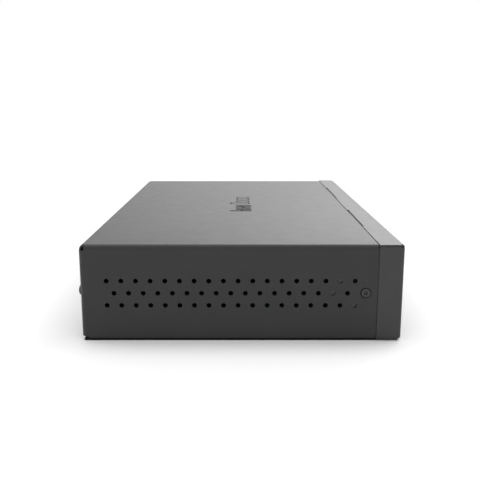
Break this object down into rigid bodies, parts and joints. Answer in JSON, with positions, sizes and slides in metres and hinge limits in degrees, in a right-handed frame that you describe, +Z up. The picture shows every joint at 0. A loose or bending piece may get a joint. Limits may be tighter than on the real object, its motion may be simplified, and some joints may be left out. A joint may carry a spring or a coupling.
{
  "type": "desktop network switch",
  "caption": "Desktop network switch in a folded dark grey steel case with side vents, stacked modular jacks, two transceiver slots and a rear mains inlet.",
  "frame": {"origin": "centre of the case's footprint, on the surface that its feet stand on", "axes": "+Z up; -Y is the front, with the ports; +X is to the right of someone facing the front; the pictured side is at -X"},
  "size_m": [0.231, 0.1445, 0.044],
  "materials": {
    "cover_paint": "fine textured powder coat, dark neutral grey, satin",
    "tray_paint": "black satin powder coat",
    "panel_paint": "fine textured powder coat, dark neutral grey, satin",
    "foot_rubber": "matt moulded rubber",
    "black_screw": "black oxide, low sheen",
    "zinc_screw": "bright zinc plate",
    "board_green": "glass-epoxy board with green solder mask",
    "board_tan": "bare tan phenolic board",
    "jack_plastic": "moulded black plastic",
    "tinned_steel": "bright tin plate over thin steel",
    "contact_plate": "nickel-plated brass",
    "inlet_plastic": "moulded black plastic, fine spark texture",
    "clear_plastic": "clear moulded acrylic",
    "led_plastic": "white moulded plastic",
    "switch_plastic": "dark grey moulded plastic",
    "button_plastic": "black moulded plastic",
    "chip_resin": "matt black moulding resin",
    "sink_aluminium": "plain extruded aluminium",
    "insulator_film": "translucent insulating film",
    "ferrite": "sintered ferrite, dark grey",
    "winding_tape": "yellow insulating tape over copper wire",
    "capacitor_sleeve": "dark blue shrink sleeve",
    "choke_wire": "enamelled copper wire on a ring core",
    "fuse_glass": "glass tube with plated caps",
    "header_plastic": "natural nylon",
    "cable_sleeve": "red and black insulated wires side by side"
  },
  "bodies": {
    "chassis": {"top_cover": "cover_paint", "base_tray": "tray_paint", "front_panel": "panel_paint", "foot_front_left": "foot_rubber", "foot_rear_left": "foot_rubber", "foot_front_right": "foot_rubber", "foot_rear_right": "foot_rubber", "side_screw_left": "black_screw", "side_screw_right": "black_screw", "rear_screw_left": "black_screw", "rear_screw_right": "black_screw", "panel_screw_left": "black_screw", "panel_screw_right": "black_screw", "ground_screw": "zinc_screw", "board_screw_front_left": "zinc_screw", "board_screw_front_right": "zinc_screw", "board_screw_rear_left": "zinc_screw", "board_screw_rear_right": "zinc_screw", "power_screw_front_left": "zinc_screw", "power_screw_front_right": "zinc_screw", "power_screw_rear_left": "zinc_screw", "power_screw_rear_right": "zinc_screw", "main_board": "board_green", "power_board": "board_tan", "jack_housing_left": "jack_plastic", "jack_housing_right": "jack_plastic", "sfp_connector_1": "jack_plastic", "sfp_connector_2": "jack_plastic", "jack_shield_left": "tinned_steel", "jack_shield_right": "tinned_steel", "sfp_cage_1": "tinned_steel", "sfp_cage_2": "tinned_steel", "inlet_pin_line": "contact_plate", "inlet_pin_earth": "contact_plate", "inlet_pin_neutral": "contact_plate", "power_inlet": "inlet_plastic", "light_guide_left": "clear_plastic", "light_guide_right": "clear_plastic", "light_guide_power": "clear_plastic", "led_bar_left": "led_plastic", "led_bar_right": "led_plastic", "led_power": "led_plastic", "reset_switch": "switch_plastic", "mode_switch": "switch_plastic", "switch_chip": "chip_resin", "chip_heat_sink": "sink_aluminium", "power_heat_sink": "sink_aluminium", "insulator_sheet": "insulator_film", "transformer_core": "ferrite", "transformer_winding": "winding_tape", "bulk_capacitor": "capacitor_sleeve", "output_capacitor": "capacitor_sleeve", "line_choke": "choke_wire", "fuse": "fuse_glass", "dc_header_main": "header_plastic", "dc_header_power": "header_plastic", "dc_cable": "cable_sleeve"},
    "reset_button": {"reset_button": "button_plastic"},
    "mode_knob": {"mode_knob": "button_plastic"}
  },
  "joints": [
    {"name": "reset_press", "type": "slide", "parent": "chassis", "child": "reset_button", "axis": [0, 1, 0], "range_m": [0, 0.0005], "stiffness_N_per_m": 2000, "springref_m": -0.0002},
    {"name": "mode_slide", "type": "slide", "parent": "chassis", "child": "mode_knob", "axis": [1, 0, 0], "range_m": [0, 0.003]}
  ]
}
